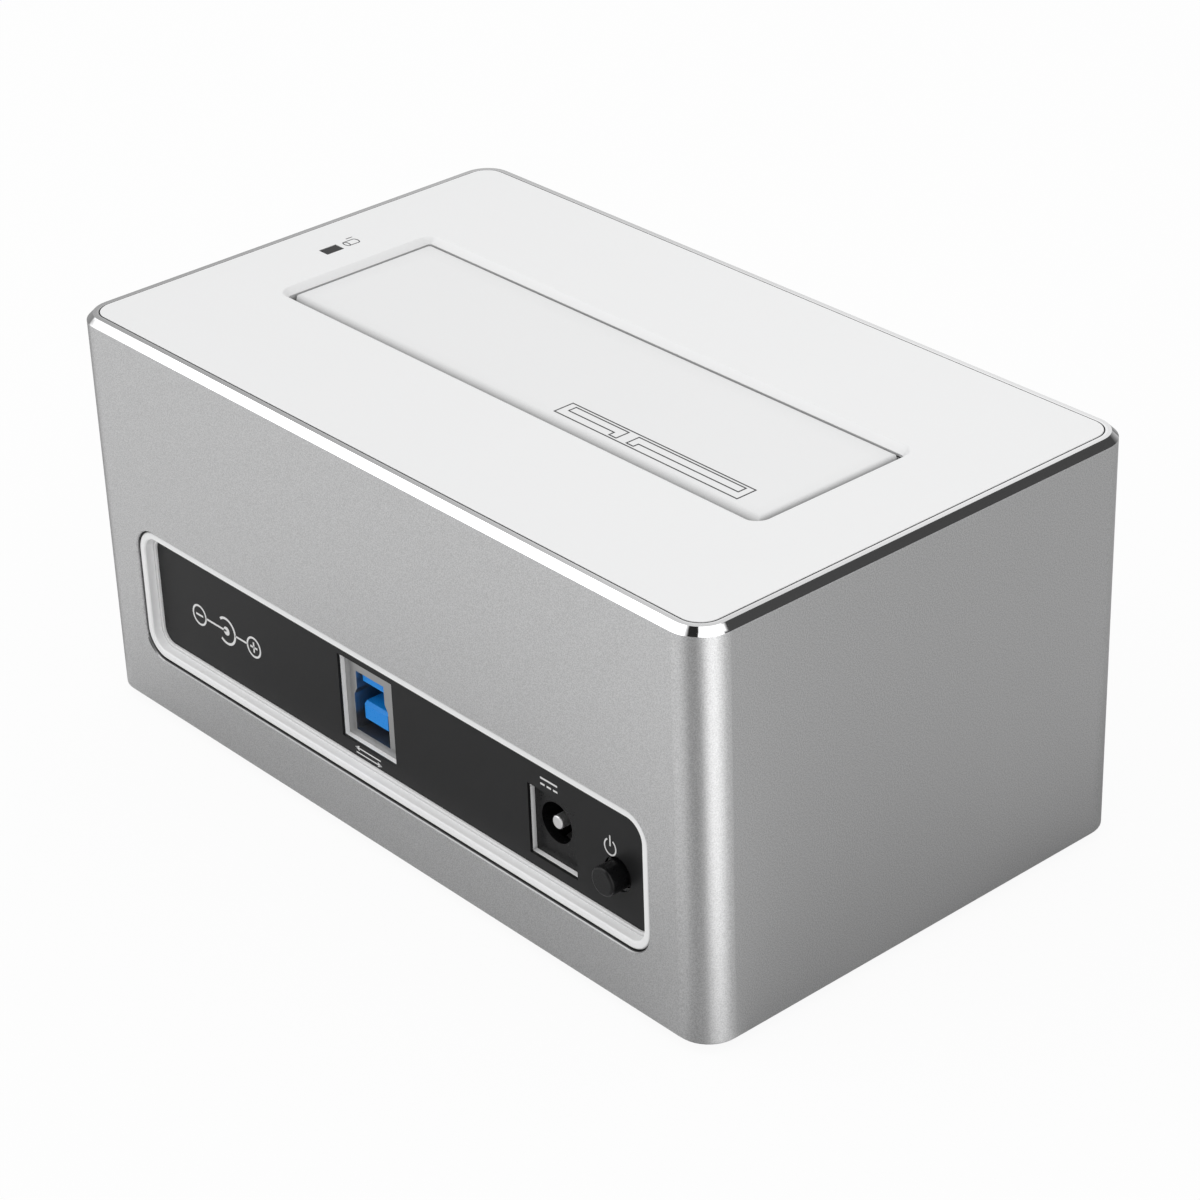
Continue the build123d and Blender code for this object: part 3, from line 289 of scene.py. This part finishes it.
# Finish of each material slot, and of the pieces that have one of their own
materials = {
    "shell_aluminium": blasted_shell(),
    "white_plastic": moulded("white_plastic", (0.85, 0.852, 0.854), 0.36, depth=0.003,
                             uneven=0.004, nook_shade=0.4),
    "black_plastic": moulded("black_plastic", (0.0045, 0.0045, 0.005), 0.30, nook_shade=0.9,
                             Specular_IOR_Level=0.28),
    "black_panel": moulded("black_panel", (0.0115, 0.0115, 0.012), 0.34, grain=0.15, depth=0.002,
                           Specular_IOR_Level=0.2),
    "smoked_plastic": moulded("smoked_plastic", (0.025, 0.025, 0.026), 0.12, depth=0.0005,
                              Specular_IOR_Level=0.3),
    "blue_plastic": moulded("blue_plastic", (0.010, 0.26, 0.78), 0.30, Specular_IOR_Level=0.25),
    "grey_plastic": moulded("grey_plastic", (0.10, 0.10, 0.105), 0.45),
    "steel": drawn_metal("steel", (0.56, 0.56, 0.57), 0.22, (0.02, 1, 1)),
    "socket_metal": drawn_metal("socket_metal", (0.46, 0.46, 0.46), 0.34),
    "spring_steel": drawn_metal("spring_steel", (0.42, 0.42, 0.43), 0.28),
    "contact_metal": drawn_metal("contact_metal", (0.86, 0.62, 0.26), 0.22),
    "board_laminate": board_lacquer(),
    "chip_plastic": moulded("chip_plastic", (0.025, 0.025, 0.026), 0.5, grain=0.1),
    "capacitor_metal": drawn_metal("capacitor_metal", (0.72, 0.72, 0.73), 0.3, (1, 1, 0.05)),
    "led_resin": moulded("led_resin", (0.75, 0.78, 0.70), 0.2, Transmission_Weight=0.3),
    "foot_rubber": moulded("foot_rubber", (0.022, 0.022, 0.022), 0.75, grain=0.4, depth=0.02),
}
own_finish = {
    "rear_bezel": bezel_plastic(),
    "slot_flap": moulded("flap_plastic", (0.825, 0.827, 0.829), 0.36, depth=0.003, uneven=0.004,
                         nook_shade=0.8, narrow=0.4),
    "jack_pin": drawn_metal("pin_metal", (0.85, 0.85, 0.85), 0.45),
}
ink_dark = moulded("ink_dark", (0.03, 0.03, 0.032), 0.5, grain=0.1, depth=0.001)
ink_light = moulded("ink_light", (0.72, 0.72, 0.72), 0.5, grain=0.1, depth=0.001)

for subpart in frame["record"]["subparts"]:
    body = parts[subpart["node"]]
    finish = own_finish.get(subpart["node"], materials[subpart["material_slot"]])
    body.data.materials.clear()
    body.data.materials.append(finish)


def on_flap(x, y, rise):
    return (x * MM, y * MM, FLAP_TOP + rise)


def on_cover(x, y, rise):
    return (x * MM, y * MM, COVER_TOP + rise)


def on_panel(x, z, rise):
    return (x * MM, PANEL_FACE + rise, z * MM)


def stroke_outline(points, width, closed):
    """Both sides of a stroke with mitred corners, as lists of 2-D points."""
    count = len(points)
    left, right = [], []
    for index, point in enumerate(points):
        here = Vector(point)
        before = Vector(points[index - 1]) if index or closed else None
        after = Vector(points[(index + 1) % count]) if index < count - 1 or closed else None
        into = (here - before).normalized() if before else None
        out_of = (after - here).normalized() if after else None
        into = into or out_of
        out_of = out_of or into
        normal = (Vector((-into.y, into.x)) + Vector((-out_of.y, out_of.x))).normalized()
        reach = width / 2 / max(0.3, normal.dot(Vector((-into.y, into.x))))
        left.append(here + normal * reach)
        right.append(here - normal * reach)
    return left, right


def arc(cx, cy, rx, ry, start, end, steps=24):
    """Points of an ellipse's arc between two angles in degrees."""
    turn = [math.radians(start + (end - start) * step / steps) for step in range(steps + 1)]
    return [(cx + rx * math.cos(angle), cy + ry * math.sin(angle)) for angle in turn]


def ring(cx, cy, rx, ry, steps=24):
    """Points of a whole ellipse, without a second one where it closes."""
    return arc(cx, cy, rx, ry, 0, 360, steps)[:-1]


def add_piece(name, shape, finish, body):
    """Turn a closed shape into a piece that rides on a body."""
    bmesh.ops.recalc_face_normals(shape, faces=shape.faces)
    mesh = bpy.data.meshes.new(name)
    shape.to_mesh(mesh)
    shape.free()
    mesh.materials.append(finish)
    piece = bpy.data.objects.new(name, mesh)
    scene.collection.objects.link(piece)
    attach(piece, body)


def printed(name, surface, strokes, body, ink):
    """A printed mark of strokes of ink, a hair proud of its surface.

    Each stroke has its points, its width in millimetres and whether it closes.
    """
    shape = bmesh.new()
    for points, width, closed in strokes:
        left, right = stroke_outline(points, width, closed)
        for index in range(len(points) if closed else len(points) - 1):
            nxt = (index + 1) % len(points)
            corners = (left[index], right[index], right[nxt], left[nxt])
            low = [shape.verts.new(surface(*corner, -PRINT_SINK)) for corner in corners]
            high = [shape.verts.new(surface(*corner, PRINT_THICKNESS - PRINT_SINK)) for corner in corners]
            shape.faces.new(high)
            shape.faces.new(list(reversed(low)))
            for side in range(4):
                end = (side + 1) % 4
                shape.faces.new((low[side], low[end], high[end], high[side]))
    add_piece(name, shape, ink, body)


# Connector outline on the flap: a frame round the two L-shaped tongues
OUTLINE = 0.21
frame_box = [(-6.97, 7.45), (-44.8, 7.45), (-44.8, 11.0), (-6.97, 11.0)]
short_tongue = [(-8.33, 8.02), (-19.58, 8.02), (-19.58, 10.46), (-18.08, 10.46), (-18.08, 9.46),
                (-8.33, 9.46)]
long_tongue = [(-21.73, 8.02), (-43.46, 8.02), (-43.46, 9.5), (-23.2, 9.5), (-23.2, 10.46),
               (-21.73, 10.46)]
outline_strokes = [(points, OUTLINE, True) for points in (frame_box, short_tongue, long_tongue)]
printed("connector_outline", on_flap, outline_strokes, "flap", ink_dark)

# Drive symbol beside the activity light: a drum lying on its side, with a dash
DRUM_X, DRUM_NEAR, DRUM_FAR, DRUM_HALF, DRUM_LINE = 59.6, -3.4, -5.2, 0.82, 0.17
drum_left, drum_right = DRUM_X - DRUM_HALF, DRUM_X + DRUM_HALF
printed("drive_symbol", on_cover,
        [(ring(DRUM_X, DRUM_NEAR, DRUM_HALF, 0.38), DRUM_LINE, True),
         ([(drum_left, DRUM_NEAR), (drum_left, DRUM_FAR)], DRUM_LINE, False),
         ([(drum_right, DRUM_NEAR), (drum_right, DRUM_FAR)], DRUM_LINE, False),
         (arc(DRUM_X, DRUM_FAR, DRUM_HALF, 0.42, 180, 360), DRUM_LINE, False),
         ([(61.2, -4.5), (61.2, -5.7)], DRUM_LINE, False)], "case", ink_dark)

# Power symbol above the button: a broken ring and a line in its gap
POWER_X, POWER_Z, POWER_LINE = -48.75, 23.85, 0.24
printed("power_symbol", on_panel,
        [(arc(POWER_X, POWER_Z, 1.15, 1.25, 118, 422, 40), POWER_LINE, False),
         ([(POWER_X, POWER_Z + 0.15), (POWER_X, POWER_Z + 1.9)], POWER_LINE, False)],
        "case", ink_light)

# Direct-current symbol above the jack: a line over three dashes
DC_START, DC_END, DC_TOP, DC_BOTTOM = -38.0, -34.4, 28.6, 27.65
DC_LINE, DC_DASH, DC_STEP = 0.3, 0.9, 1.35
dc_strokes = [([(DC_START, DC_TOP), (DC_END, DC_TOP)], DC_LINE, False)]
for dash in range(3):
    start = DC_START + dash * DC_STEP
    dc_strokes.append(([(start, DC_BOTTOM), (start + DC_DASH, DC_BOTTOM)], DC_LINE, False))
printed("direct_current_symbol", on_panel, dc_strokes, "case", ink_light)

# Two arrows under the data socket, one each way
ARROW_LINE, ARROW_BACK, ARROW_SPREAD = 0.2, 0.75, 0.32
arrow_strokes = []
for row, tip, tail in ((14.6, 8.2, 2.4), (13.75, 2.4, 8.2)):
    back = tip + (ARROW_BACK if tip < tail else -ARROW_BACK)
    head = [(back, row + ARROW_SPREAD), (tip, row), (back, row - ARROW_SPREAD)]
    arrow_strokes.append(([(tail, row), (tip, row)], ARROW_LINE, False))
    arrow_strokes.append((head, ARROW_LINE, False))
printed("data_arrows", on_panel, arrow_strokes, "case", ink_light)

# Polarity of the jack's plug: ring and centre between a minus and a plus
POLE_X, POLE_Z, POLE_REACH, POLE_SIGN, POLE_DASH, POLE_LINE = 39.7, 21.4, 7.0, 1.65, 0.9, 0.34
POLE_RING, POLE_RING_LINE, POLE_CENTRE, POLE_CENTRE_LINE = 2.2, 0.42, 0.4, 0.7
minus_x, plus_x = POLE_X + POLE_REACH, POLE_X - POLE_REACH
pole_strokes = [(arc(POLE_X, POLE_Z, POLE_RING, POLE_RING, 50, 310, 32), POLE_RING_LINE, False),
                (ring(POLE_X, POLE_Z, POLE_CENTRE, POLE_CENTRE, 16), POLE_CENTRE_LINE, True),
                ([(POLE_X, POLE_Z), (minus_x - POLE_SIGN, POLE_Z)], POLE_LINE, False),
                ([(POLE_X - POLE_RING, POLE_Z), (plus_x + POLE_SIGN, POLE_Z)], POLE_LINE, False),
                ([(plus_x, POLE_Z - POLE_DASH), (plus_x, POLE_Z + POLE_DASH)], POLE_LINE, False)]
for centre in (plus_x, minus_x):
    pole_strokes.append((ring(centre, POLE_Z, POLE_SIGN, POLE_SIGN), POLE_LINE, True))
    pole_strokes.append(([(centre - POLE_DASH, POLE_Z), (centre + POLE_DASH, POLE_Z)], POLE_LINE, False))
printed("polarity_symbol", on_panel, pole_strokes, "case", ink_light)


def rounded_loop(half_x, half_y, corner, z, steps=8):
    points = []
    for quarter, (x, y) in enumerate(((1, 1), (-1, 1), (-1, -1), (1, -1))):
        middle = (x * (half_x - corner), y * (half_y - corner))
        for point in arc(*middle, corner, corner, quarter * 90, quarter * 90 + 90, steps):
            points.append((*point, z))
    return points


def make_gap_shadow():
    """A dark piece of painted shadow that fills the gap between the cover and the sleeve, a little below
    the rim.
    """
    top, bottom = SHELL_TOP - 0.03 * MM, SHELL_TOP - 1.0 * MM
    shape = bmesh.new()
    rings = []
    for edge, z in ((SHELL_BORE, bottom), (SHELL_BORE, top), (COVER_EDGE, top), (COVER_EDGE, bottom)):
        rings.append([shape.verts.new(point) for point in rounded_loop(*edge, z)])
    for first, second in zip(rings, rings[1:] + rings[:1]):
        for index in range(len(first)):
            nxt = (index + 1) % len(first)
            shape.faces.new((first[index], first[nxt], second[nxt], second[index]))
    shadow_black = moulded("gap_shadow_black", (0.006, 0.006, 0.0065), 0.6, Specular_IOR_Level=0.1)
    add_piece("cover_gap_shadow", shape, shadow_black, "case")


make_gap_shadow()

# Brightness that gloss sees, by bearing in degrees: soft boxes and dark cards in the sky, and painted
# light and shade on the floor round the object's near corner and on the floor close to that corner
SKY_CARDS = [(-180, 1.5), (-146, 1.5), (-141, 0.06), (-100, 0.06), (-80, 0.45), (-50, 1.0),
             (-45, 0.95), (-38, 0.5), (-30, 0.4), (10, 0.25), (20, 1.25), (76, 1.25), (88, 0.02),
             (124, 0.02), (128, 1.5), (180, 1.5)]
FLOOR_GLOSS_PAINT = [(-180, 1.4), (-164, 0.9), (-145, 0.48), (-118, 0.48), (-104, 0.51), (-92, 0.42),
               (-60, 0.52), (0, 0.72), (30, 0.75), (45, 0.80), (58, 0.87), (72, 0.87), (84, 0.74),
               (98, 0.42), (118, 0.33), (134, 0.42), (150, 1.3), (165, 1.7), (180, 1.4)]
CORNER_GLOSS_PAINT = [(-180, 1.1), (-164, 0.76), (-145, 0.52), (-90, 0.52), (0, 0.70), (72, 0.74),
                (84, 0.69), (98, 0.52), (118, 0.47), (134, 0.52), (150, 0.95), (165, 1.2),
                (180, 1.1)]
NEAR_CORNER = (-65 * MM, 37 * MM)
CLOSE, AWAY = 8 * MM, 65 * MM
# A level's colour holds half of its brightness, to stay under 1
HALF = 0.5

# Painted shade on the floor beyond the object's far end: share of that brightness that is left, by
# bearing from its corner
END_SHARES = [(-180, 1.0), (-100, 1.0), (-80, 0.45), (0, 0.45), (16, 1.0), (180, 1.0)]
LEFT_CORNER = (66 * MM, 39 * MM)

# Painted shadow on the floor beside the object, seen by gloss: outline, reach and share left at the
# outline
DIM_OUTLINE = (48 * MM, 41.5 * MM, 5.5 * MM)
DIM_REACH = 50 * MM
DIM_SHARE = 0.78

# Floor: half its side, its grey, and how much of what the camera sees of it is plain white
FLOOR_HALF = 4.0
FLOOR_GREY = 0.8
FLOOR_WHITE = 0.93

# Strength of the even light from all round
SOFT_LIGHT = 0.93


class Stage(Nodes):
    """Nodes of a floor or world that answers camera, gloss and soft light differently."""

    def __init__(self, owner):
        owner.use_nodes = True
        super().__init__(owner.node_tree)
        self.tree.nodes.clear()
        self.path = self.add("ShaderNodeLightPath").outputs

    def shader(self, kind, color, **inputs):
        if isinstance(color, float):
            color = (color, color, color, 1.0)
        return self.add(kind, Color=color, **inputs).outputs[0]

    def mix(self, factor, a, b):
        node = self.add("ShaderNodeMixShader", Fac=factor)
        self.feed(node.inputs[1], a)
        self.feed(node.inputs[2], b)
        return node.outputs[0]

    def blend(self, factor, a, b):
        """A value between two others."""
        rest = self.math("MULTIPLY", a, self.math("SUBTRACT", 1.0, factor))
        return self.math("ADD", rest, self.math("MULTIPLY", b, factor))

    def distance(self, vector, place):
        node = self.add("ShaderNodeVectorMath", {"operation": "DISTANCE"})
        self.feed(node.inputs[0], vector)
        self.feed(node.inputs[1], place)
        return node.outputs["Value"]

    def by_bearing(self, vector, centre, stops, scale=1.0):
        """A level that changes with the compass bearing from a centre."""
        place = self.axes(vector)
        along = self.math("SUBTRACT", place["X"], centre[0])
        across = self.math("SUBTRACT", place["Y"], centre[1])
        turn = self.math("ARCTAN2", across, along)
        bearing = self.math("ADD", self.math("DIVIDE", turn, 2 * math.pi), 0.5)
        node = self.add("ShaderNodeValToRGB", Fac=bearing)
        ramp = node.color_ramp
        while len(ramp.elements) > 1:
            ramp.elements.remove(ramp.elements[-1])
        for index, (degrees, level) in enumerate(stops):
            position = (degrees + 180) / 360
            stop = ramp.elements[0] if index == 0 else ramp.elements.new(position)
            stop.position = position
            stop.color = (level * scale, level * scale, level * scale, 1.0)
        return node.outputs[0]

    def done(self, result, kind):
        self.feed(self.add(kind).inputs[0], result)


def make_floor():
    """A pale floor that the camera sees as almost plain white, and that keeps a shadow.
    Gloss sees painted light and shade on it.
    """
    corners = [(-FLOOR_HALF, -FLOOR_HALF, 0), (FLOOR_HALF, -FLOOR_HALF, 0),
               (FLOOR_HALF, FLOOR_HALF, 0), (-FLOOR_HALF, FLOOR_HALF, 0)]
    mesh = bpy.data.meshes.new("floor")
    mesh.from_pydata(corners, [], [(0, 1, 2, 3)])
    floor = bpy.data.objects.new("floor", mesh)
    scene.collection.objects.link(floor)
    paper = bpy.data.materials.new("floor_paper")
    stage = Stage(paper)
    matt = stage.shader("ShaderNodeBsdfDiffuse", FLOOR_GREY)
    white = stage.shader("ShaderNodeEmission", 1.0, Strength=1.0)
    seen = stage.mix(FLOOR_WHITE, matt, white)

    # What gloss sees: painted light and shade by bearing round the near corner, painted shade beyond the
    # far end and painted shadow beside the object
    place = stage.add("ShaderNodeNewGeometry").outputs["Position"]
    near = stage.by_bearing(place, NEAR_CORNER, CORNER_GLOSS_PAINT, HALF)
    far = stage.by_bearing(place, NEAR_CORNER, FLOOR_GLOSS_PAINT, HALF)
    away = stage.ramp(stage.distance(place, (*NEAR_CORNER, 0.0)), CLOSE, AWAY)
    around = stage.blend(away, near, far)
    beyond = stage.by_bearing(place, LEFT_CORNER, END_SHARES)
    past_outline = stage.distance_outside(stage.axes(place), *DIM_OUTLINE)
    fade = stage.ramp(past_outline, 0.0, DIM_REACH, DIM_SHARE, 1.0)
    level = stage.math("MULTIPLY", stage.math("MULTIPLY", around, beyond), fade)

    # Two half-bright copies added together make the whole brightness
    half_bright = stage.shader("ShaderNodeBsdfDiffuse", level)
    whole = stage.add("ShaderNodeAddShader")
    stage.feed(whole.inputs[0], half_bright)
    stage.feed(whole.inputs[1], half_bright)
    result = stage.mix(stage.path["Is Glossy Ray"], matt, whole.outputs[0])
    result = stage.mix(stage.path["Is Camera Ray"], result, seen)
    stage.done(result, "ShaderNodeOutputMaterial")
    mesh.materials.append(paper)


def make_world():
    """Even soft light, soft boxes for gloss and a white backdrop for the camera."""
    world = bpy.data.worlds.new("studio")
    scene.world = world
    stage = Stage(world)
    direction = stage.add("ShaderNodeTexCoord").outputs["Generated"]
    boxes = stage.by_bearing(direction, (0, 0), SKY_CARDS, HALF)
    soft = stage.shader("ShaderNodeBackground", 1.0, Strength=SOFT_LIGHT)
    glossy = stage.shader("ShaderNodeBackground", boxes, Strength=1 / HALF)
    white = stage.shader("ShaderNodeBackground", 1.0, Strength=1.0)
    result = stage.mix(stage.path["Is Glossy Ray"], soft, glossy)
    result = stage.mix(stage.path["Is Camera Ray"], result, white)
    stage.done(result, "ShaderNodeOutputWorld")


def make_key_light():
    """A weak square lamp on the camera's left, high above the rear face."""
    place, target = Vector((0.5, 0.6, 0.9)), Vector((0, 0, 0.03))
    side, power = 0.8, 2.0
    data = bpy.data.lights.new("key", "AREA")
    data.shape = "RECTANGLE"
    data.size, data.size_y, data.energy = side, side, power
    lamp = bpy.data.objects.new("key", data)
    lamp.location = place
    lamp.rotation_mode = "QUATERNION"
    lamp.rotation_quaternion = (target - place).to_track_quat("-Z", "Y")
    scene.collection.objects.link(lamp)


def make_camera():
    """The photograph's view, from heading, elevation and roll in degrees."""
    place = Vector((-350.91, 297.81, 287.12)) * MM
    heading, elevation, roll = 130.533, 29.459, 2.054
    sensor, focal_pixels, image_pixels = 36.0, 3497.73, 1200
    turn, dip, lean = (math.radians(angle) for angle in (heading, elevation, roll))
    forward = Vector((math.sin(turn) * math.cos(dip), math.cos(turn) * math.cos(dip), -math.sin(dip)))
    side = forward.cross(Vector((0, 0, 1))).normalized()
    up = side.cross(forward)
    right = side * math.cos(lean) - up * math.sin(lean)
    up = right.cross(forward)
    data = bpy.data.cameras.new("camera")
    data.sensor_width = sensor
    data.lens = focal_pixels / image_pixels * sensor
    data.clip_start, data.clip_end = 0.01, 20.0
    camera = bpy.data.objects.new("camera", data)
    axes = Matrix((right, up, -forward)).transposed()
    camera.matrix_world = Matrix.Translation(place) @ axes.to_4x4()
    scene.collection.objects.link(camera)
    scene.camera = camera


make_floor()
make_world()
make_key_light()
make_camera()
scene.view_settings.view_transform = "Standard"
